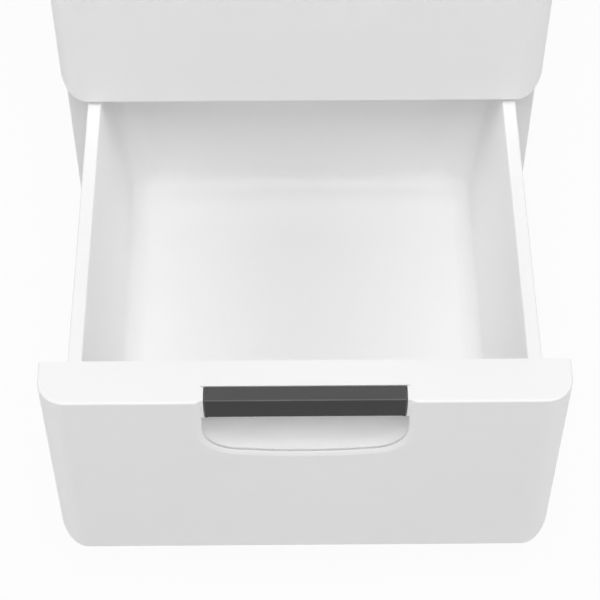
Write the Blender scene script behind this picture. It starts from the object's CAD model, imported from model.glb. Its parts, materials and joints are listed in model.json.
"""Looks of a mobile printer stand: moulded drawers and cabinet, casters, screws and the studio."""

import json
import math

import bmesh
import bpy
from mathutils import Matrix, Vector


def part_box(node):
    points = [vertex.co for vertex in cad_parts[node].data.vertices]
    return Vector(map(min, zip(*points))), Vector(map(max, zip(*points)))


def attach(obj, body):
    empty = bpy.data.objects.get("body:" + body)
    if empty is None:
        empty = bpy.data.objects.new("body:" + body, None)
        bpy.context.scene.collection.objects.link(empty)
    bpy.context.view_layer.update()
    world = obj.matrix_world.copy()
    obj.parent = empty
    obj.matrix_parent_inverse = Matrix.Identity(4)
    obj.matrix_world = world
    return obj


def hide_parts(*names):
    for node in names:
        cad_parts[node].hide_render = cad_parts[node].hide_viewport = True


bl_info = {
    "name": "Mobile printer stand",
    "version": (1, 0, 0),
    "blender": (4, 5, 0),
    "location": "View3D > Sidebar > Printer stand",
    "description": "Finishes a printer stand with two drawers on four casters",
    "category": "Add Mesh",
}

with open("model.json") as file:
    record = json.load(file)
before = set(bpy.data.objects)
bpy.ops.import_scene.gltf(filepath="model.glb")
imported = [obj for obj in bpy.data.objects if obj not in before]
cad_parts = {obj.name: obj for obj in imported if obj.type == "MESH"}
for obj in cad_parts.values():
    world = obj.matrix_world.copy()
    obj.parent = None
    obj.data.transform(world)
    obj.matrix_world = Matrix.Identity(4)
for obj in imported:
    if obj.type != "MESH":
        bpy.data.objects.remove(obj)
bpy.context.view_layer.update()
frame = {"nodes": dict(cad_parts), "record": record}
CAD_NODES = frame["nodes"]
BODIES = frame["record"]["behaviour"]["bodies"]
BODY_OF = {node: body for body, members in BODIES.items() for node in members}

DRAWERS = ("lower", "upper")
SIDES = ("left", "right")
CORNERS = ("front_left", "front_right", "rear_left", "rear_right")
FRONT_CORNERS = CORNERS[:2]

X_AXIS = Vector((1, 0, 0))
Y_AXIS = Vector((0, 1, 0))
Z_AXIS = Vector((0, 0, 1))
WHITE = (1, 1, 1, 1)
MM = 0.001
# Places closer than this count as one, and loose triangles are joined within the second distance
NEAR = 0.00001
MERGE_WITHIN = 0.000002
# Faces that turn by less are one plane, and edges that turn by more are sharp
FLAT_ANGLE = math.radians(0.3)
SHARP_ANGLE = math.radians(30)
# Least cosine between two directions that count as one
SAME_WAY = 0.99
# Step that keeps faces of a drawer out of one plane
SMALL_STEP = 0.1 * MM
# Holes tighter than this keep their sharp rims
HOLE_RADIUS = 4.5 * MM

# Segments of roundings, from the corners of a front down to the edges of small pieces
CORNER_SEGMENTS = 14
TRAY_SEGMENTS = 12
FILLET_SEGMENTS = 7
SHOULDER_SEGMENTS = 6
EDGE_SEGMENTS = 4
SOFT_SEGMENTS = 3
SMALL_SEGMENTS = 2
# Steps and cuts of curved forms, and the power by which the band round a pocket steepens
SCOOP_STEPS = 10
BOW_CUTS = 4
BAND_CUTS = 8
BAND_SWEEP = 1.3
TYRE_STEPS = 72
HUB_STEPS = 60
# Head of a screw, in shares of its radius and height: the cross recess, and the rings from the crown down
RECESS_CELLS = 3
RECESS_REACH = 0.5
RECESS_TAPER = 0.75
RECESS_DEPTH = 0.6
HEAD_RINGS = ((0.76, 1.0), (0.93, 0.78), (1.0, 0.45), (1.0, 0.0))

# Attribute that tells how worn a place of a piece is
WEAR = "edge_wear"
# Least and most roughness of each plastic, its grain, its shine, and how much lighter dust and wear make it
PLASTICS = {
    "white_plastic": (0.40, 0.52, 0.10, 0.35, 0, 0),
    "inner_plastic": (0.46, 0.60, 0.14, 0.5, 0, 0),
    "dark_plastic": (0.20, 0.28, 0.06, 0.1, 0.7, 2.2),
    "black_plastic": (0.38, 0.54, 0.25, 0.5, 0.3, 1.6),
    "grey_plastic": (0.42, 0.56, 0.20, 0.5, 0.2, 0.7),
}
PLASTIC_IOR = 1.47
RUBBER_IOR = 1.5

# Camera fitted to the photograph: its place and angles in the frame, and the lens for a square picture
CAMERA_PLACE = Vector((-0.01168, -1.13657, 1.47185))
CAMERA_PITCH = math.radians(52.898)
CAMERA_YAW = math.radians(0.547)
CAMERA_ROLL = math.radians(0.064)
CAMERA_LENS = 114.15
CAMERA_SENSOR = 36.0
# Lamps, all at one distance from the open drawer and turned towards its middle
LAMP_TARGET = Vector((0, -0.15, 0.35))
LAMP_REACH = 3.5
LAMP_SIZE = 1.75
# Each lamp's name, its height in degrees, and its turns in degrees from straight before the stand
LAMPS = (
    ("key_lamp", 66, (0,)),
    ("side_lamp", 32, (-80, 80)),
    ("fill_lamp", 15, (-35, 35)),
    ("back_lamp", 30, (180,)),
)
FLOOR_REACH = 6


def length_prop(name, description, default):
    """A length in metres."""
    return bpy.props.FloatProperty(name=name, description=description, default=default, min=0.0,
                                   precision=4, subtype="DISTANCE", unit="LENGTH")


def colour_prop(name, description, default):
    """A colour, in linear red, green and blue."""
    return bpy.props.FloatVectorProperty(name=name, description=description, default=default, min=0.0,
                                         max=1.0, size=3, subtype="COLOR")


def level_prop(name, description, default):
    """A plain number from nothing upwards."""
    return bpy.props.FloatProperty(name=name, description=description, default=default, min=0.0)


class StandSizes(bpy.types.PropertyGroup):
    """Sizes of the moulded pieces that their boxes in the frame don't give."""

    corner_radius: length_prop("Corner radius", "Radius of the outer corners of a drawer front", 22 * MM)
    front_edge: length_prop("Front edge", "Rounding of the edges of a drawer front", 1.8 * MM)
    front_wall: length_prop("Front wall", "Wall of a drawer front", 3 * MM)
    pocket_width: length_prop("Pocket width", "Width of the finger pocket", 156.4 * MM)
    pocket_depth: length_prop("Pocket depth", "Depth of the pocket below the top of a front", 69 * MM)
    pocket_radius: length_prop("Pocket radius", "Radius of the pocket's lower corners", 28 * MM)
    pocket_bow: length_prop("Pocket bow", "Rise of the pocket's lower edge towards its corners", 2.8 * MM)
    band_width: length_prop("Band width", "Width of the sloping band along the pocket", 5.5 * MM)
    band_depth: length_prop("Band depth", "Depth of the band's crest behind the face", 1.6 * MM)
    pocket_notch: length_prop("Pocket notch", "Depth of the bar's notch in the top of a front", 15.4 * MM)
    seat_gap: length_prop("Seat gap", "Gap between the bar's ends and their seats", 0.4 * MM)
    cup_groove: length_prop("Cup groove", "Groove between a face's back and the finger cup", 0.8 * MM)
    cup_wall: length_prop("Cup wall", "Wall of the finger cup", 2.5 * MM)
    cup_flange: length_prop("Cup flange", "Width of the finger cup's flange, with its wall", 11.5 * MM)
    cup_fillet: length_prop("Cup fillet", "Radius between the finger cup's back and its floor", 18 * MM)
    bar_edge: length_prop("Bar edge", "Rounding of the edges of the handle bar", 1.0 * MM)
    bar_foot: length_prop("Bar foot", "Width of the feet at the ends of the handle bar", 3 * MM)
    tray_wall: length_prop("Tray wall", "Wall of a tray", 3 * MM)
    rim_width: length_prop("Rim width", "Width of a tray's rim", 11 * MM)
    rim_height: length_prop("Rim height", "Height of the lip round a tray's rim", 14 * MM)
    rim_radius: length_prop("Rim radius", "Radius of the rim's rear corners", 6 * MM)
    rim_edge: length_prop("Rim edge", "Rounding of the rim's edges", 1.4 * MM)
    tray_corner: length_prop("Tray corner", "Radius of a tray's rear corners", 26 * MM)
    floor_fillet: length_prop("Floor fillet", "Radius between a tray's walls and its floor", 16 * MM)
    side_lean: length_prop("Side lean", "How far a tray's side walls lean in", 14.5 * MM)
    back_lean: length_prop("Back lean", "How far a tray's back wall leans in", 11 * MM)
    board_edge: length_prop("Board edge", "Rounding of the upper edge of the top and the base", 2.4 * MM)
    panel_edge: length_prop("Panel edge", "Rounding of the edges of the cabinet's panels", 1.0 * MM)
    small_edge: length_prop("Small edge", "Rounding of the edges of small pieces", 0.5 * MM)
    tyre_shoulder: length_prop("Tyre shoulder", "Radius of a tyre's shoulders", 4 * MM)


class StandColours(bpy.types.PropertyGroup):
    """Colours of the finishes and of the floor."""

    white_plastic: colour_prop("White plastic", "Fronts, trays and panels", (0.95, 0.95, 0.95))
    inner_plastic: colour_prop("Inner plastic", "Back, runners and other inner pieces", (0.84, 0.84, 0.84))
    dark_plastic: colour_prop("Dark plastic", "Handle bars and glide shoes", (0.053, 0.053, 0.054))
    steel: colour_prop("Zinc plate", "Screws, axles, pins and caster plates", (0.66, 0.67, 0.69))
    black_plastic: colour_prop("Black plastic", "Forks and wheel centres", (0.020, 0.020, 0.022))
    grey_rubber: colour_prop("Grey rubber", "Tyres", (0.135, 0.136, 0.142))
    grey_plastic: colour_prop("Grey plastic", "Brake pedals", (0.15, 0.153, 0.165))
    floor: colour_prop("Floor", "Floor of the studio", (0.60, 0.60, 0.60))


class StudioLight(bpy.types.PropertyGroup):
    """Strength of the light round the stand."""

    surround: level_prop("Surround", "Light from all round", 0.2)
    key_lamp: level_prop("Key lamp", "Power of the lamp high above the front, in watts", 62.0)
    side_lamp: level_prop("Side lamps", "Power of each lamp beside the stand, in watts", 30.0)
    fill_lamp: level_prop("Fill lamps", "Power of each low lamp before the stand, in watts", 9.0)
    back_lamp: level_prop("Back lamp", "Power of the lamp behind the stand, in watts", 14.0)
    floor_glow: bpy.props.FloatProperty(name="Floor glow", description="Share of white in the seen floor",
                                        default=0.95, min=0.0, max=1.0, subtype="FACTOR")


class Wire:
    """A socket of a node tree that takes part in Python expressions on values."""

    def __init__(self, tree, socket):
        self.tree = tree
        self.socket = socket

    def math(self, operation, other):
        """A value worked out from this one and another."""
        return self.tree.node("ShaderNodeMath", {"operation": operation}, {0: self, 1: other})["Value"]

    def __add__(self, other):
        return self.math("ADD", other)

    __radd__ = __add__

    def __mul__(self, other):
        return self.math("MULTIPLY", other)

    __rmul__ = __mul__

    def at_least(self, other):
        """The larger of two values."""
        return self.math("MAXIMUM", other)


class NodeTree:
    """The nodes of a material or of the world."""

    def __init__(self, tree):
        self.tree = tree

    def node(self, kind, settings=None, sockets=None):
        """Adds a node, with its settings first and then the values or wires of its sockets.
        Returns its outputs."""
        made = self.tree.nodes.new(kind)
        for key, value in (settings or {}).items():
            setattr(made, key, value)
        self.feed(made, sockets or {})
        return {socket.identifier: Wire(self, socket) for socket in made.outputs}

    def feed(self, node, sockets):
        """Sets the inputs of a node, named by place or identifier, from values or wires."""
        by_name = {socket.identifier: socket for socket in node.inputs}
        for key, value in sockets.items():
            socket = node.inputs[key] if isinstance(key, int) else by_name[key]
            if isinstance(value, Wire):
                self.tree.links.new(value.socket, socket)
            else:
                socket.default_value = value

    def blend(self, first, second, factor):
        """A colour between two colours."""
        sockets = {"Factor_Float": factor, "A_Color": first, "B_Color": second}
        return self.node("ShaderNodeMix", {"data_type": "RGBA"}, sockets)["Result_Color"]

    def mottled(self, colour, dark, light, factor):
        """A colour between a darker and a lighter share of itself."""
        return self.blend(shaded(colour, dark), shaded(colour, light), factor)

    def noise(self, scale, detail):
        """Noise on the piece's own coordinates, with a number of features to the metre."""
        where = self.node("ShaderNodeTexCoord")["Object"]
        sockets = {"Vector": where, "Scale": scale, "Detail": detail}
        return self.node("ShaderNodeTexNoise", {}, sockets)["Fac"]

    def relief(self, height, strength, depth):
        """A bumped normal."""
        sockets = {"Height": height, "Strength": strength, "Distance": depth}
        return self.node("ShaderNodeBump", {}, sockets)["Normal"]


class Finish(NodeTree):
    """A material with a shader of its own."""

    def __init__(self, name):
        self.material = bpy.data.materials.new(name)
        self.material.use_nodes = True
        super().__init__(self.material.node_tree)

    def surface(self, sockets):
        """Sets the shader's sockets and returns the material."""
        self.feed(self.tree.nodes["Principled BSDF"], sockets)
        return self.material


def shaded(colour, share):
    """A colour made darker or lighter, with its alpha."""
    return tuple(part * share for part in colour) + (1.0,)


def moulded_plastic(name, colour, rough_low, rough_high, grain, shine, dust, wear):
    """Plastic with the fine grain of its mould, a little uneven in shade and in gloss. Fine dust makes what
    faces up lighter by a share, and wear does so along rounded edges, in scuffs."""
    finish = Finish(name)
    cloud = finish.noise(scale=9.0, detail=3.0)
    pits = finish.noise(scale=1900.0, detail=2.0)
    speck = finish.noise(scale=420.0, detail=1.0)
    shade = finish.mottled(colour, dark=0.975, light=1.01, factor=cloud)
    if dust:
        facing = finish.node("ShaderNodeTexCoord")["Normal"]
        upward = finish.node("ShaderNodeSeparateXYZ", {}, {"Vector": facing})["Z"]
        shade = finish.blend(shade, shaded(colour, 1 + dust), upward.at_least(0))
    if wear:
        worn = finish.node("ShaderNodeAttribute", {"attribute_name": WEAR})["Fac"]
        scuffs = 0.3 + 0.9 * finish.noise(scale=45.0, detail=3.0)
        shade = finish.blend(shade, shaded(colour, 1 + wear), worn * scuffs)
    unevenness = 0.7 * cloud + 0.3 * speck
    texture = pits + 0.4 * speck
    return finish.surface({
        "Base Color": shade,
        "Roughness": rough_low + (rough_high - rough_low) * unevenness,
        "Normal": finish.relief(texture, strength=grain, depth=0.1 * MM),
        "IOR": PLASTIC_IOR,
        "Specular IOR Level": shine,
    })


def zinc_plate(name, colour):
    """Zinc-plated steel, with cloudy spangles and a fine grain."""
    finish = Finish(name)
    spangle = finish.noise(scale=260.0, detail=2.0)
    grain = finish.noise(scale=2400.0, detail=1.0)
    return finish.surface({
        "Base Color": finish.mottled(colour, dark=0.84, light=1.08, factor=spangle),
        "Roughness": 0.26 + 0.2 * spangle,
        "Normal": finish.relief(grain, strength=0.12, depth=0.05 * MM),
        "Metallic": 1.0,
    })


def tread_rubber(name, colour):
    """Matte rubber, dusted lighter in patches and finely pitted."""
    finish = Finish(name)
    dust = finish.noise(scale=60.0, detail=4.0)
    pits = finish.noise(scale=1300.0, detail=2.0)
    return finish.surface({
        "Base Color": finish.mottled(colour, dark=0.82, light=1.25, factor=dust),
        "Roughness": 0.68 + 0.2 * dust,
        "Normal": finish.relief(pits, strength=0.25, depth=0.2 * MM),
        "IOR": RUBBER_IOR,
    })


def finish_for(slot):
    """The material of a slot of the record, made when it is first asked for."""
    name = f"{slot}_finish"
    known = bpy.data.materials.get(name)
    if known:
        return known
    colour = tuple(getattr(bpy.context.scene.stand_colours, slot))
    if slot == "steel":
        return zinc_plate(name, colour)
    if slot == "grey_rubber":
        return tread_rubber(name, colour)
    return moulded_plastic(name, colour, *PLASTICS[slot])


def place_piece(bm, node, slot):
    """Makes a bmesh the piece that stands for a CAD node, on the body that the node moves with."""
    mesh = bpy.data.meshes.new(f"{node}_mesh")
    bm.to_mesh(mesh)
    bm.free()
    mesh.shade_smooth()
    mesh.set_sharp_from_angle(angle=SHARP_ANGLE)
    mesh.materials.append(finish_for(slot))
    piece = bpy.data.objects.new(f"{node}_finish", mesh)
    bpy.context.scene.collection.objects.link(piece)
    weighted = piece.modifiers.new("Even shading", "WEIGHTED_NORMAL")
    weighted.keep_sharp = True
    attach(piece, BODY_OF[node])
    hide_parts(node)


def drawer_place(drawer):
    """Moves a drawer's own frame, whose origin is at the top of its face, to where that drawer is."""
    low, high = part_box(f"{drawer}_front_shell")
    return Matrix.Translation((0, low.y, high.z))


def drawer_box(node, drawer):
    """Box of a CAD node in its drawer's own frame."""
    back = drawer_place(drawer).inverted()
    low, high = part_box(node)
    return back @ low, back @ high


def place_in_drawer(bm, drawer, part, slot):
    """Places a piece that was made in its drawer's own frame."""
    bmesh.ops.transform(bm, matrix=drawer_place(drawer), verts=bm.verts)
    place_piece(bm, f"{drawer}_{part}", slot)


def middle(edge):
    """Point halfway along an edge."""
    return (edge.verts[0].co + edge.verts[1].co) / 2


def runs_along(edge, axis):
    """Whether an edge is parallel to an axis."""
    direction = (edge.verts[1].co - edge.verts[0].co).normalized()
    return abs(direction.dot(axis)) > SAME_WAY


def edges_within(bm, verts):
    """Edges whose two ends are both among some vertices."""
    chosen = set(verts)
    return [edge for edge in bm.edges if chosen.issuperset(edge.verts)]


def sharp_edges(bm):
    """Edges between two faces that meet at a sharp angle."""
    return [edge for edge in bm.edges if edge.is_manifold and edge.calc_face_angle() > SHARP_ANGLE]


def start_piece(mesh=None):
    """A bmesh, or a copy of a mesh as one, that can tell how worn its edges are."""
    bm = bmesh.new()
    if mesh:
        bm.from_mesh(mesh)
    bm.verts.layers.float.new(WEAR)
    return bm


def bevel(bm, parts, affect, radius, segments):
    """Rounds edges or vertices in the way that all pieces share."""
    return bmesh.ops.bevel(bm, geom=list(parts), affect=affect, offset=radius, offset_type="OFFSET",
                           segments=segments, profile=0.5, material=-1, clamp_overlap=False)


def round_edges(bm, edges, radius, segments):
    """Rounds edges, and marks what lies within the rounding as worn."""
    made = bevel(bm, edges, "EDGES", radius, segments)
    rounded = set(made["faces"])
    wear = bm.verts.layers.float[WEAR]
    for vert in made["verts"]:
        if all(face in rounded for face in vert.link_faces):
            vert[wear] = 1


def round_corners(bm, verts, radius, segments):
    """Rounds corners of a flat outline."""
    bevel(bm, verts, "VERTICES", radius, segments)


def add_block(bm, low, high, turn=Matrix()):
    """Adds a block between two corners, turned afterwards."""
    low, high = Vector(low), Vector(high)
    place = turn @ Matrix.Translation((low + high) / 2) @ Matrix.Diagonal((*(high - low), 1))
    return bmesh.ops.create_cube(bm, size=1, matrix=place)["verts"]


def flat_face(bm, corners):
    """Adds one face with the given corners."""
    bm.faces.new([bm.verts.new(corner) for corner in corners])


def cut(bm, faces, point, normal):
    """Cuts some faces along a plane."""
    parts = {part for face in faces for part in (face, *face.edges, *face.verts)}
    bmesh.ops.bisect_plane(bm, geom=list(parts), plane_co=point, plane_no=normal, dist=NEAR / 10)


def join_flat(bm):
    """Joins faces that lie in one plane."""
    bmesh.ops.dissolve_limit(bm, angle_limit=FLAT_ANGLE, verts=bm.verts, edges=bm.edges)


def draw_out(bm, edges, move):
    """Extrudes edges and moves each new vertex to where a function puts it. Returns the new edges."""
    made = bmesh.ops.extrude_edge_only(bm, edges=list(edges))["geom"]
    verts = [part for part in made if isinstance(part, bmesh.types.BMVert)]
    for vert in verts:
        vert.co = move(vert.co)
    return edges_within(bm, verts)


def thicken(bm, wall, seen):
    """Gives a sheet a wall behind its seen side, which a test of its largest face tells."""
    bmesh.ops.recalc_face_normals(bm, faces=bm.faces)
    if not seen(max(bm.faces, key=lambda face: face.calc_area())):
        bmesh.ops.reverse_faces(bm, faces=bm.faces)
    bmesh.ops.solidify(bm, geom=bm.faces[:], thickness=wall)


def pocket_gauge(point, sizes):
    """How far a point is outside the finger pocket's outline, seen from the front, and the way straight out.
    The lower edge is an arc that runs into the arcs of the corners."""
    side = math.copysign(1, point.x)
    corner_x = sizes.pocket_width / 2 - sizes.pocket_radius
    bow_radius = (corner_x ** 2 + sizes.pocket_bow ** 2) / (2 * sizes.pocket_bow)
    bow = Vector((0, point.y, bow_radius - sizes.pocket_depth))
    corner_drop = math.sqrt((bow_radius - sizes.pocket_radius) ** 2 - corner_x ** 2)
    corner = Vector((side * corner_x, point.y, bow.z - corner_drop))
    if point.z > corner.z:
        return abs(point.x) - sizes.pocket_width / 2, X_AXIS * side
    if abs(point.x) * corner_drop < corner_x * (bow.z - point.z):
        return (point - bow).length - bow_radius, (point - bow).normalized()
    return (point - corner).length - sizes.pocket_radius, (point - corner).normalized()


def bow_pocket(bm, sizes, level):
    """Rounds the lower corners of the pocket's square outline at a depth, and bows its lower edge."""

    def at_foot(point):
        return abs(point.y - level) < NEAR and abs(point.z + sizes.pocket_depth) < NEAR

    corners = [vert for vert in bm.verts if vert.is_boundary and at_foot(vert.co)]
    round_corners(bm, corners, sizes.pocket_radius, CORNER_SEGMENTS)
    lower = [edge for edge in bm.edges if edge.is_boundary and at_foot(middle(edge))]
    bmesh.ops.subdivide_edges(bm, edges=lower, cuts=BOW_CUTS)
    reach = sizes.pocket_width / 2 + NEAR
    for vert in bm.verts:
        if vert.is_boundary and abs(vert.co.y - level) < NEAR and abs(vert.co.x) < reach:
            distance, outward = pocket_gauge(vert.co, sizes)
            if abs(distance) < sizes.pocket_radius / 2:
                vert.co -= outward * distance


def band_set_back(depth, sizes):
    """How far the band round the pocket stands outside its outline at a depth. It steepens from the face to
    its crest, and then falls away into the groove."""
    left = 1 - max(0, depth) / sizes.band_depth
    if left < 0:
        return depth - sizes.band_depth
    return sizes.band_width * left ** BAND_SWEEP


def front_shell(sizes, drawer):
    """Drawer front: a shell with round outer corners, and a pocket in it with a sloping band."""
    low, high = drawer_box(f"{drawer}_front_shell", drawer)
    wall = sizes.front_wall
    half = sizes.pocket_width / 2
    bm = start_piece()
    add_block(bm, low, high)
    upright = [edge for edge in bm.edges if runs_along(edge, Z_AXIS) and middle(edge).y < wall]
    lower_sides = [edge for edge in bm.edges if runs_along(edge, Y_AXIS) and middle(edge).z < -wall]
    round_edges(bm, upright + lower_sides, sizes.corner_radius, CORNER_SEGMENTS)
    bmesh.ops.delete(bm, geom=[face for face in bm.faces if face.normal.y > SAME_WAY], context="FACES")
    round_edges(bm, sharp_edges(bm), sizes.front_edge, EDGE_SEGMENTS)

    for side in (half, -half):
        cut(bm, bm.faces, (side, 0, 0), X_AXIS)
    cut(bm, bm.faces, (0, 0, -sizes.pocket_depth), Z_AXIS)
    cut(bm, bm.faces, (0, sizes.pocket_notch, 0), Y_AXIS)
    notch = []
    for face in bm.faces:
        centre = face.calc_center_median()
        in_face = centre.y < wall and centre.z > -sizes.pocket_depth
        in_top = centre.y < sizes.pocket_notch and centre.z > -wall
        if abs(centre.x) < half and (in_face or in_top):
            notch.append(face)
    bmesh.ops.delete(bm, geom=notch, context="FACES")
    join_flat(bm)
    bow_pocket(bm, sizes, 0)
    cut(bm, [face for face in bm.faces if face.normal.z > SAME_WAY], (0, wall, 0), Y_AXIS)

    thicken(bm, wall, lambda face: face.normal.y < 0)
    band = [vert for vert in bm.verts
            if vert.co.y < wall + NEAR and abs(pocket_gauge(vert.co, sizes)[0]) < NEAR]
    through = [edge for edge in edges_within(bm, band)
               if abs(edge.verts[0].co.y - edge.verts[1].co.y) > wall - NEAR]
    bmesh.ops.subdivide_edges(bm, edges=through, cuts=BAND_CUTS, use_grid_fill=True)
    for vert in bm.verts:
        distance, outward = pocket_gauge(vert.co, sizes)
        shown = vert.co.y < sizes.band_depth or vert.co.z < -wall + NEAR
        if vert.co.y < wall + NEAR and abs(distance) < NEAR and shown:
            vert.co += outward * band_set_back(vert.co.y, sizes)
    return bm


def finger_cup(sizes, drawer):
    """Trough behind the pocket, scooped from its back into its floor and sides, with a flange round its
    mouth and a seat for each end of the bar."""
    high = drawer_box(f"{drawer}_finger_cup", drawer)[1]
    bar_low, bar_high = drawer_box(f"{drawer}_handle_bar", drawer)
    half = sizes.pocket_width / 2
    back = high.y - sizes.cup_wall
    front = sizes.front_wall + sizes.cup_groove
    top = -sizes.front_wall - 3 * SMALL_STEP
    bm = start_piece()
    flat_face(bm, [(-half, back, top), (half, back, top), (half, back, -sizes.pocket_depth),
                   (-half, back, -sizes.pocket_depth)])
    bow_pocket(bm, sizes, back)
    ring = [edge for edge in bm.edges if middle(edge).z < top - NEAR]
    for vert in bm.verts:
        vert.co -= pocket_gauge(vert.co, sizes)[1] * sizes.cup_fillet
    turn = math.pi / 2 / SCOOP_STEPS
    for step in range(SCOOP_STEPS):
        wider = sizes.cup_fillet * (math.sin(turn * (step + 1)) - math.sin(turn * step))
        nearer = Y_AXIS * sizes.cup_fillet * (math.cos(turn * step) - math.cos(turn * (step + 1)))
        ring = draw_out(bm, ring, lambda co: co + pocket_gauge(co, sizes)[1] * wider - nearer)
    mouth = draw_out(bm, ring, lambda co: Vector((co.x, front, co.z)))
    draw_out(bm, mouth, lambda co: co + pocket_gauge(co, sizes)[1] * sizes.cup_flange)
    thicken(bm, sizes.cup_wall, lambda face: face.normal.y < 0)

    seat = bar_high.x + sizes.seat_gap
    for side in (-1, 1):
        near, far = sorted((side * seat, side * half))
        cheek = add_block(bm, (near, bar_low.y, bar_low.z), (far, bar_high.y, 0))
        free = [edge for edge in edges_within(bm, cheek) if abs(middle(edge).x) < half - NEAR]
        round_edges(bm, free, sizes.small_edge, SOFT_SEGMENTS)
        near, far = sorted((side * (seat + sizes.small_edge), side * (half + SMALL_STEP)))
        add_block(bm, (near, front, bar_low.z + sizes.small_edge), (far, bar_high.y, top))
    return bm


def handle_bar(sizes, drawer):
    """Bar across the top of the pocket, with soft edges, worn in front, and a shallow foot at each end."""
    low, high = drawer_box(f"{drawer}_handle_bar", drawer)
    foot_drop = 0.7 * MM
    bm = start_piece()
    add_block(bm, low, high)
    for end, side in ((low.x, 1), (high.x, -1)):
        cut(bm, bm.faces, (end + side * sizes.bar_foot, 0, 0), X_AXIS)
    feet = [face for face in bm.faces
            if face.normal.z < -SAME_WAY and abs(face.calc_center_median().x) > high.x - sizes.bar_foot]
    grown = bmesh.ops.extrude_discrete_faces(bm, faces=feet)["faces"]
    foot_verts = {vert for face in grown for vert in face.verts}
    bmesh.ops.translate(bm, vec=(0, 0, -foot_drop), verts=list(foot_verts))
    round_edges(bm, [edge for edge in sharp_edges(bm) if edge.is_convex], sizes.bar_edge, SOFT_SEGMENTS)
    wear = bm.verts.layers.float[WEAR]
    for vert in bm.verts:
        if vert.co.y > (low.y + high.y) / 2:
            vert[wear] = 0
    return bm


def tray(sizes, drawer):
    """Tray: a leaning tub with a filleted floor, a flat rim and a lip that turns down round it."""
    low, high = drawer_box(f"{drawer}_tray", drawer)
    front = low.y + sizes.tray_wall
    floor = low.z + sizes.tray_wall
    inner_half = high.x - sizes.rim_width
    inner_back = high.y - sizes.rim_width
    foot_half = inner_half - sizes.side_lean
    foot_back = inner_back - sizes.back_lean
    rear = (front + foot_back) / 2
    rim_front = front + SMALL_STEP
    under_front = -sizes.front_wall - 2 * SMALL_STEP
    arc_half = inner_half - sizes.tray_corner
    arc_back = inner_back - sizes.tray_corner

    def up_the_wall(co):
        lean = Vector((math.copysign(sizes.side_lean, co.x), sizes.back_lean if co.y > rear else 0, 0))
        return Vector((co.x, co.y, high.z)) + lean

    def over_the_rim(co):
        if co.y < arc_back:
            return Vector((math.copysign(high.x, co.x), max(co.y, rim_front), high.z))
        arc = Vector((math.copysign(arc_half, co.x), arc_back, co.z))
        corner_x = math.copysign(high.x - sizes.rim_radius, co.x)
        corner = Vector((corner_x, high.y - sizes.rim_radius, co.z))
        return corner + (co - arc) * (sizes.rim_radius / sizes.tray_corner)

    def in_front_wall(face):
        return abs(face.normal.y) > SAME_WAY and face.calc_center_median().y < front + NEAR

    bm = start_piece()
    flat_face(bm, [(-foot_half, front, floor), (foot_half, front, floor), (foot_half, foot_back, floor),
                   (-foot_half, foot_back, floor)])
    round_corners(bm, [vert for vert in bm.verts if vert.co.y > rear], sizes.tray_corner, TRAY_SEGMENTS)
    floor_edges = list(bm.edges)
    draw_out(bm, floor_edges, up_the_wall)
    round_edges(bm, floor_edges, sizes.floor_fillet, FILLET_SEGMENTS)

    cut(bm, [face for face in bm.faces if in_front_wall(face)], (0, 0, under_front), Z_AXIS)
    above = [face for face in bm.faces if in_front_wall(face) and face.calc_center_median().z > under_front]
    bmesh.ops.delete(bm, geom=above, context="FACES")

    brim = [edge for edge in bm.edges if edge.is_boundary and middle(edge).z > high.z - NEAR]
    outer = draw_out(bm, brim, over_the_rim)
    draw_out(bm, outer, lambda co: Vector((co.x, co.y, high.z - sizes.rim_height)))
    top_edges = [edge for edge in sharp_edges(bm) if middle(edge).z > high.z - NEAR]
    round_edges(bm, top_edges, sizes.rim_edge, EDGE_SEGMENTS)
    thicken(bm, sizes.tray_wall, lambda face: face.normal.z > 0)
    return bm


def hole_like(vert, chosen):
    """Whether two chosen edges bend at a vertex as the rim of a tight hole does."""
    ends = [edge.other_vert(vert).co for edge in vert.link_edges if edge in chosen]
    if len(ends) != 2:
        return False
    before, after = vert.co - ends[0], ends[1] - vert.co
    bend = before.angle(after)
    if not FLAT_ANGLE < bend < SHARP_ANGLE:
        return False
    return (before.length + after.length) / 2 / bend < HOLE_RADIUS


def softened(node, radius, segments=SMALL_SEGMENTS, first=None):
    """A copy of a CAD node with its outer edges rounded, apart from those of screw holes.
    first is a larger radius and a test for the edges that get it."""
    bm = start_piece(CAD_NODES[node].data)
    bmesh.ops.remove_doubles(bm, verts=bm.verts, dist=MERGE_WITHIN)
    join_flat(bm)
    if first:
        large, wanted = first
        round_edges(bm, [edge for edge in sharp_edges(bm) if wanted(edge)], large, EDGE_SEGMENTS)
    outer = {edge for edge in sharp_edges(bm) if edge.is_convex}
    holes = {vert for edge in outer for vert in edge.verts if hole_like(vert, outer)}
    round_edges(bm, [edge for edge in outer if holes.isdisjoint(edge.verts)], radius, segments)
    return bm


def place_softened(node, slot, radius, segments=SMALL_SEGMENTS, first=None):
    """Places a softened copy of a CAD node in the node's stead."""
    place_piece(softened(node, radius, segments, first), node, slot)


def lathe(centre, profile, steps):
    """Turns a closed profile, given as distances along and from the axle, round an axle along X."""
    bm = start_piece()
    verts = [bm.verts.new(centre + Vector((along, 0, away))) for along, away in profile]
    edges = [bm.edges.new((verts[k - 1], verts[k])) for k in range(len(verts))]
    bmesh.ops.spin(bm, geom=verts + edges, cent=centre, axis=X_AXIS, angle=math.tau, steps=steps,
                   use_merge=True)
    bmesh.ops.remove_doubles(bm, verts=bm.verts, dist=MERGE_WITHIN)
    bmesh.ops.recalc_face_normals(bm, faces=bm.faces)
    return bm


def radius_of(point, centre):
    """Distance of a point from an axle along X."""
    return math.hypot(point.y - centre.y, point.z - centre.z)


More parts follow.
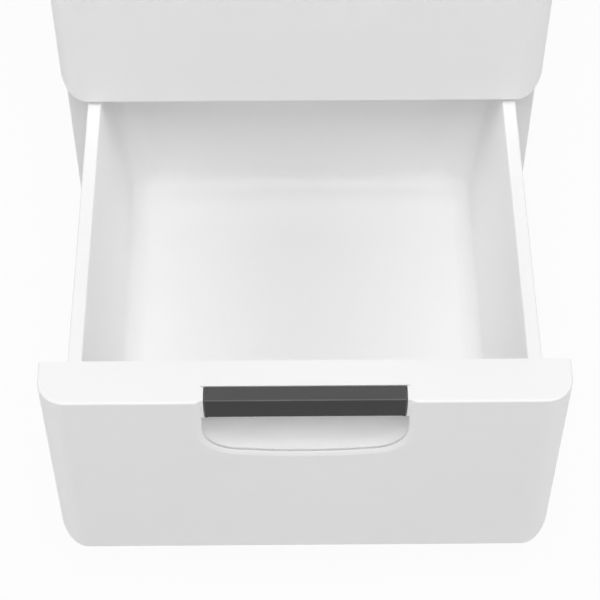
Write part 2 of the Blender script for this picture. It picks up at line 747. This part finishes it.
def caster_tyre(sizes, corner):
    """Tyre with round shoulders and two fine grooves round its tread."""
    low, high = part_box(f"{corner}_caster_tyre")
    hub_low, hub_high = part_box(f"{corner}_caster_hub")
    centre = (low + high) / 2
    half = (high.x - low.x) / 2
    outer = (high.z - low.z) / 2
    inner = (hub_high.z - hub_low.z) / 2
    groove_at = 3.2 * MM
    groove_half = 0.5 * MM
    groove_slope = 0.15 * MM
    groove_depth = 0.6 * MM
    bm = lathe(centre, ((-half, inner), (-half, outer), (half, outer), (half, inner)), TYRE_STEPS)
    shoulders = [edge for edge in sharp_edges(bm) if radius_of(middle(edge), centre) > (inner + outer) / 2]
    round_edges(bm, shoulders, sizes.tyre_shoulder, SHOULDER_SEGMENTS)
    for side in (-1, 1):
        for reach in (groove_at - groove_half, groove_at + groove_half):
            cut(bm, bm.faces, (centre.x + side * reach, 0, 0), X_AXIS)
    grooves = []
    for face in bm.faces:
        place = face.calc_center_median()
        in_groove = abs(abs(place.x - centre.x) - groove_at) < groove_half
        if in_groove and radius_of(place, centre) > outer - groove_depth:
            grooves.append(face)
    bmesh.ops.inset_region(bm, faces=grooves, thickness=groove_slope, depth=-groove_depth)
    return bm


def caster_hub(sizes, corner):
    """Wheel centre, dished on both sides, with ribs from its boss to its rim."""
    low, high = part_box(f"{corner}_caster_hub")
    centre = (low + high) / 2
    half = (high.x - low.x) / 2
    outer = (high.z - low.z) / 2
    bore = 3.1 * MM
    boss = 7 * MM
    rim = outer - 3 * MM
    web = half - 4 * MM
    ribs = 6
    rib_half = 0.9 * MM
    rib_top = half - 1 * MM
    rib_root = 0.4 * MM
    profile = [(-half, bore), (-half, boss), (-web, boss), (-web, rim), (-half, rim), (-half, outer)]
    profile += [(-along, away) for along, away in reversed(profile)]
    bm = lathe(centre, profile, HUB_STEPS)
    round_edges(bm, [edge for edge in sharp_edges(bm) if edge.is_convex], sizes.small_edge, SMALL_SEGMENTS)
    for side in (-1, 1):
        near, far = sorted((side * (web - rib_root / 2), side * rib_top))
        for k in range(ribs):
            turn = Matrix.Translation(centre) @ Matrix.Rotation(k * math.tau / ribs, 4, "X")
            add_block(bm, (near, -rib_half, boss - rib_root), (far, rib_half, rim + rib_root), turn)
    return bm


def brake_pedal(sizes, corner):
    """Brake pedal with grip ridges across its tab."""
    bm = softened(f"{corner}_brake_pedal", sizes.small_edge)
    ridges = 4
    ridge_height = 0.5 * MM
    least_rise = 0.5
    tab = max((face for face in bm.faces if face.normal.z > least_rise), key=lambda face: face.calc_area())
    normal = tab.normal.copy()
    level = tab.verts[0].co.dot(normal)
    along = X_AXIS.cross(normal).normalized()
    reach = [vert.co.dot(along) for vert in tab.verts]
    start = min(reach)
    step = (max(reach) - start) / (2 * ridges + 1)

    def on_tab(face):
        height = face.calc_center_median().dot(normal)
        return face.normal.dot(normal) > SAME_WAY and abs(height - level) < NEAR

    for k in range(1, 2 * ridges + 1):
        cut(bm, [face for face in bm.faces if on_tab(face)], along * (start + k * step), along)
    raised = []
    for face in bm.faces:
        row = math.floor((face.calc_center_median().dot(along) - start) / step)
        if on_tab(face) and row % 2:
            raised.append(face)
    bmesh.ops.inset_individual(bm, faces=raised, thickness=sizes.small_edge)
    bmesh.ops.inset_individual(bm, faces=raised, thickness=sizes.small_edge / 2, depth=ridge_height)
    return bm


def islands(node):
    """The separate solids of a CAD node, each as a list of its points."""
    bm = bmesh.new()
    bm.from_mesh(CAD_NODES[node].data)
    bmesh.ops.remove_doubles(bm, verts=bm.verts, dist=MERGE_WITHIN)
    left = set(bm.verts)
    found = []
    while left:
        queue = [left.pop()]
        points = []
        while queue:
            vert = queue.pop()
            points.append(vert.co.copy())
            linked = {edge.other_vert(vert) for edge in vert.link_edges} & left
            left -= linked
            queue += linked
        found.append(points)
    bm.free()
    return found


def screw_fit(points):
    """Place and sizes of a CAD screw: the matrix from a frame with its head up from z = 0, its head's
    radius and height, and its shank's radius and length."""
    rim_share = 0.99
    shank_share = 0.9
    low = Vector([min(point[k] for point in points) for k in range(3)])
    high = Vector([max(point[k] for point in points) for k in range(3)])
    size = high - low
    centre = (low + high) / 2
    axis = max(range(3), key=lambda k: abs(size[k] - size[k - 1]) + abs(size[k] - size[k - 2]))
    along = (X_AXIS, Y_AXIS, Z_AXIS)[axis]
    away = []
    for point in points:
        offset = point - centre
        away.append((offset - offset.dot(along) * along).length)
    head_radius = max(away)
    wide = [point[axis] for point, distance in zip(points, away) if distance > rim_share * head_radius]
    shank_radius = max(distance for distance in away if distance < shank_share * head_radius)
    outward = 1 if max(wide) > centre[axis] else -1
    seat = centre.copy()
    seat[axis] = min(wide) if outward > 0 else max(wide)
    turn = Z_AXIS.rotation_difference(outward * along).to_matrix().to_4x4()
    head_height = max(wide) - min(wide)
    return Matrix.Translation(seat) @ turn, head_radius, head_height, shank_radius, size[axis] - head_height


def ring_point(co, radius, height):
    """A point of a ring round the Z axis, taken to another radius and height."""
    flat = Vector((co.x, co.y, 0)).normalized() * radius
    return Vector((flat.x, flat.y, height))


def add_screw(bm, place, head_radius, head_height, shank_radius, length):
    """Adds a pan-head screw with a cross recess, its head upwards from z = 0 and its shank below."""
    screw = bmesh.new()
    reach = RECESS_REACH * head_radius
    bmesh.ops.create_grid(screw, x_segments=RECESS_CELLS, y_segments=RECESS_CELLS, size=reach)
    bmesh.ops.translate(screw, vec=(0, 0, head_height), verts=screw.verts)
    arms = []
    for face in screw.faces:
        centre = face.calc_center_median()
        if min(abs(centre.x), abs(centre.y)) < reach / RECESS_CELLS:
            arms.append(face)
    recess = bmesh.ops.extrude_face_region(screw, geom=arms)["geom"]
    floor = [part for part in recess if isinstance(part, bmesh.types.BMVert)]
    bmesh.ops.delete(screw, geom=arms, context="FACES")
    bmesh.ops.scale(screw, vec=(RECESS_TAPER, RECESS_TAPER, 1), verts=floor)
    bmesh.ops.translate(screw, vec=(0, 0, -RECESS_DEPTH * head_height), verts=floor)
    bmesh.ops.subdivide_edges(screw, edges=[edge for edge in screw.edges if edge.is_boundary], cuts=1)

    ring = [edge for edge in screw.edges if edge.is_boundary]
    rings = [(share * head_radius, height * head_height) for share, height in HEAD_RINGS]
    rings += [(shank_radius, 0), (shank_radius, -length)]
    for radius, level in rings:
        ring = draw_out(screw, ring, lambda co: ring_point(co, radius, level))
    bmesh.ops.edgeloop_fill(screw, edges=ring)
    bmesh.ops.recalc_face_normals(screw, faces=screw.faces)
    bmesh.ops.transform(screw, matrix=place, verts=screw.verts)
    mesh = bpy.data.meshes.new("screw")
    screw.to_mesh(mesh)
    screw.free()
    bm.from_mesh(mesh)
    bpy.data.meshes.remove(mesh)


class StandOperator:
    """What the operators share."""

    bl_options = {"REGISTER", "UNDO"}


class PRINTER_STAND_OT_fronts(StandOperator, bpy.types.Operator):
    """Makes both drawer fronts and the plates that close their backs"""

    bl_idname = "printer_stand.fronts"
    bl_label = "Drawer fronts"

    def execute(self, context):
        sizes = context.scene.stand_sizes
        for drawer in DRAWERS:
            place_in_drawer(front_shell(sizes, drawer), drawer, "front_shell", "white_plastic")
            place_softened(f"{drawer}_front_liner", "inner_plastic", sizes.small_edge)
        return {"FINISHED"}


class PRINTER_STAND_OT_finger_cups(StandOperator, bpy.types.Operator):
    """Makes the scooped cups behind the finger pockets"""

    bl_idname = "printer_stand.finger_cups"
    bl_label = "Finger cups"

    def execute(self, context):
        for drawer in DRAWERS:
            cup = finger_cup(context.scene.stand_sizes, drawer)
            place_in_drawer(cup, drawer, "finger_cup", "white_plastic")
        return {"FINISHED"}


class PRINTER_STAND_OT_handle_bars(StandOperator, bpy.types.Operator):
    """Makes the dark bars across the finger pockets"""

    bl_idname = "printer_stand.handle_bars"
    bl_label = "Handle bars"

    def execute(self, context):
        for drawer in DRAWERS:
            bar = handle_bar(context.scene.stand_sizes, drawer)
            place_in_drawer(bar, drawer, "handle_bar", "dark_plastic")
        return {"FINISHED"}


class PRINTER_STAND_OT_trays(StandOperator, bpy.types.Operator):
    """Makes both trays and their glide shoes"""

    bl_idname = "printer_stand.trays"
    bl_label = "Trays"

    def execute(self, context):
        sizes = context.scene.stand_sizes
        for drawer in DRAWERS:
            place_in_drawer(tray(sizes, drawer), drawer, "tray", "white_plastic")
            place_softened(f"{drawer}_glide_shoes", "dark_plastic", sizes.small_edge)
        return {"FINISHED"}


class PRINTER_STAND_OT_cabinet(StandOperator, bpy.types.Operator):
    """Makes the cabinet's boards, panels, cross rail and runners"""

    bl_idname = "printer_stand.cabinet"
    bl_label = "Cabinet"

    def execute(self, context):
        sizes = context.scene.stand_sizes
        for node in ("top_panel", "base_panel"):
            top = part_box(node)[1].z
            upper = (sizes.board_edge, lambda edge, top=top: middle(edge).z > top - NEAR)
            place_softened(node, "white_plastic", sizes.small_edge, first=upper)
        for side in SIDES:
            place_softened(f"{side}_side_panel", "white_plastic", sizes.panel_edge, SOFT_SEGMENTS)
        runners = [f"{drawer}_{side}_runner" for drawer in DRAWERS for side in SIDES]
        for node in ("back_panel", "mid_rail", *runners):
            place_softened(node, "inner_plastic", sizes.small_edge)
        return {"FINISHED"}


class PRINTER_STAND_OT_wheels(StandOperator, bpy.types.Operator):
    """Makes the tyres and the wheel centres of the casters"""

    bl_idname = "printer_stand.wheels"
    bl_label = "Wheels"

    def execute(self, context):
        sizes = context.scene.stand_sizes
        for corner in CORNERS:
            place_piece(caster_tyre(sizes, corner), f"{corner}_caster_tyre", "grey_rubber")
            place_piece(caster_hub(sizes, corner), f"{corner}_caster_hub", "black_plastic")
        return {"FINISHED"}


class PRINTER_STAND_OT_casters(StandOperator, bpy.types.Operator):
    """Makes the plates, forks, axles, brakes and kingpins of the casters"""

    bl_idname = "printer_stand.casters"
    bl_label = "Casters"

    def execute(self, context):
        sizes = context.scene.stand_sizes
        for corner in CORNERS:
            for part, slot in (("plate", "steel"), ("fork", "black_plastic"), ("axle", "steel")):
                place_softened(f"{corner}_caster_{part}", slot, sizes.small_edge)
        for corner in FRONT_CORNERS:
            place_piece(brake_pedal(sizes, corner), f"{corner}_brake_pedal", "grey_plastic")
            place_softened(f"{corner}_brake_pin", "steel", sizes.small_edge)
        place_softened("caster_kingpins", "steel", sizes.small_edge)
        return {"FINISHED"}


class PRINTER_STAND_OT_screws(StandOperator, bpy.types.Operator):
    """Makes every screw, where the frame has it"""

    bl_idname = "printer_stand.screws"
    bl_label = "Screws"

    def execute(self, context):
        groups = [node for node in CAD_NODES if node.endswith("_screws")]
        if not groups:
            raise RuntimeError("the frame has no screws")
        for node in groups:
            bm = bmesh.new()
            for points in islands(node):
                add_screw(bm, *screw_fit(points))
            place_piece(bm, node, "steel")
        return {"FINISHED"}


class PRINTER_STAND_OT_stage(StandOperator, bpy.types.Operator):
    """Makes the floor, the lamps, the surround and the camera"""

    bl_idname = "printer_stand.stage"
    bl_label = "Studio"

    def execute(self, context):
        scene = context.scene
        light = scene.studio_light
        scene.view_settings.view_transform = "Standard"
        self.lay_floor(scene, light)
        self.light_surround(scene, light)
        self.hang_lamps(scene, light)
        self.set_camera(scene)
        return {"FINISHED"}

    def seen_rays(self, tree):
        """One for what is seen, also in mirrors and through glass, and none for the light on the stand."""
        rays = tree.node("ShaderNodeLightPath")
        seen = rays["Is Camera Ray"].at_least(rays["Is Glossy Ray"])
        return seen.at_least(rays["Is Transmission Ray"])

    def lay_floor(self, scene, light):
        """A floor that is white where it is seen, apart from the stand's shadow."""
        bm = bmesh.new()
        bmesh.ops.create_grid(bm, x_segments=1, y_segments=1, size=FLOOR_REACH)
        mesh = bpy.data.meshes.new("floor_mesh")
        bm.to_mesh(mesh)
        bm.free()
        floor = bpy.data.objects.new("studio_floor", mesh)
        scene.collection.objects.link(floor)
        finish = Finish("studio_floor")
        mottle = finish.noise(scale=3.0, detail=2.0)
        shade = finish.mottled(tuple(scene.stand_colours.floor), dark=0.985, light=1.0, factor=mottle)
        finish.surface({"Base Color": shade, "Roughness": 0.85})
        plain = Wire(finish, finish.tree.nodes["Principled BSDF"].outputs["BSDF"])
        glow = finish.node("ShaderNodeEmission", {}, {"Color": WHITE, "Strength": 1.0})["Emission"]
        share = light.floor_glow * self.seen_rays(finish)
        mixed = finish.node("ShaderNodeMixShader", {}, {0: share, 1: plain, 2: glow})["Shader"]
        finish.feed(finish.tree.nodes["Material Output"], {"Surface": mixed})
        mesh.materials.append(finish.material)

    def light_surround(self, scene, light):
        """A world that is white where it is seen and lights the stand faintly."""
        world = bpy.data.worlds.new("studio_surround")
        world.use_nodes = True
        scene.world = world
        tree = NodeTree(world.node_tree)
        strength = light.surround + (1 - light.surround) * self.seen_rays(tree)
        tree.feed(world.node_tree.nodes["Background"], {"Color": WHITE, "Strength": strength})

    def hang_lamps(self, scene, light):
        """Square lamps round the stand."""
        for name, height, turns in LAMPS:
            lamp = bpy.data.lights.new(name, "AREA")
            lamp.shape = "SQUARE"
            lamp.size = LAMP_SIZE
            lamp.energy = getattr(light, name)
            rise = math.radians(height)
            for turn in turns:
                swing = math.radians(turn)
                level = Vector((math.sin(swing), -math.cos(swing), 0))
                outward = level * math.cos(rise) + Z_AXIS * math.sin(rise)
                hung = bpy.data.objects.new(name, lamp)
                hung.location = LAMP_TARGET + LAMP_REACH * outward
                hung.rotation_euler = outward.to_track_quat("Z", "Y").to_euler()
                scene.collection.objects.link(hung)

    def set_camera(self, scene):
        """The camera that took the photograph."""
        level = Vector((math.sin(CAMERA_YAW), math.cos(CAMERA_YAW), 0))
        forward = level * math.cos(CAMERA_PITCH) - Z_AXIS * math.sin(CAMERA_PITCH)
        right = forward.cross(Z_AXIS).normalized()
        upward = right.cross(forward)
        across = right * math.cos(CAMERA_ROLL) + upward * math.sin(CAMERA_ROLL)
        upward = upward * math.cos(CAMERA_ROLL) - right * math.sin(CAMERA_ROLL)
        turn = Matrix((across, upward, -forward)).transposed().to_4x4()
        lens = bpy.data.cameras.new("photo_camera")
        lens.lens = CAMERA_LENS
        lens.sensor_width = CAMERA_SENSOR
        camera = bpy.data.objects.new("photo_camera", lens)
        camera.matrix_world = Matrix.Translation(CAMERA_PLACE) @ turn
        scene.collection.objects.link(camera)
        scene.camera = camera


OPERATORS = (
    PRINTER_STAND_OT_fronts,
    PRINTER_STAND_OT_finger_cups,
    PRINTER_STAND_OT_handle_bars,
    PRINTER_STAND_OT_trays,
    PRINTER_STAND_OT_cabinet,
    PRINTER_STAND_OT_wheels,
    PRINTER_STAND_OT_casters,
    PRINTER_STAND_OT_screws,
    PRINTER_STAND_OT_stage,
)


class PRINTER_STAND_PT_sidebar(bpy.types.Panel):
    """Lists the pieces, their sizes and colours, and the light"""

    bl_label = "Printer stand"
    bl_space_type = "VIEW_3D"
    bl_region_type = "UI"
    bl_category = "Printer stand"

    def draw(self, context):
        for operator in OPERATORS:
            self.layout.operator(operator.bl_idname)
        scene = context.scene
        for group in (scene.stand_sizes, scene.stand_colours, scene.studio_light):
            column = self.layout.column()
            for name in group.bl_rna.properties.keys():
                if name not in ("rna_type", "name"):
                    column.prop(group, name)


GROUPS = {"stand_sizes": StandSizes, "stand_colours": StandColours, "studio_light": StudioLight}
CLASSES = (*GROUPS.values(), *OPERATORS, PRINTER_STAND_PT_sidebar)


def register():
    for cls in CLASSES:
        bpy.utils.register_class(cls)
    for name, group in GROUPS.items():
        setattr(bpy.types.Scene, name, bpy.props.PointerProperty(type=group))


def unregister():
    for name in GROUPS:
        delattr(bpy.types.Scene, name)
    for cls in reversed(CLASSES):
        bpy.utils.unregister_class(cls)


def main():
    """Makes every piece and the studio."""
    register()
    bpy.ops.printer_stand.fronts()
    bpy.ops.printer_stand.finger_cups()
    bpy.ops.printer_stand.handle_bars()
    bpy.ops.printer_stand.trays()
    bpy.ops.printer_stand.cabinet()
    bpy.ops.printer_stand.wheels()
    bpy.ops.printer_stand.casters()
    bpy.ops.printer_stand.screws()
    bpy.ops.printer_stand.stage()


if __name__ == "__main__":
    main()
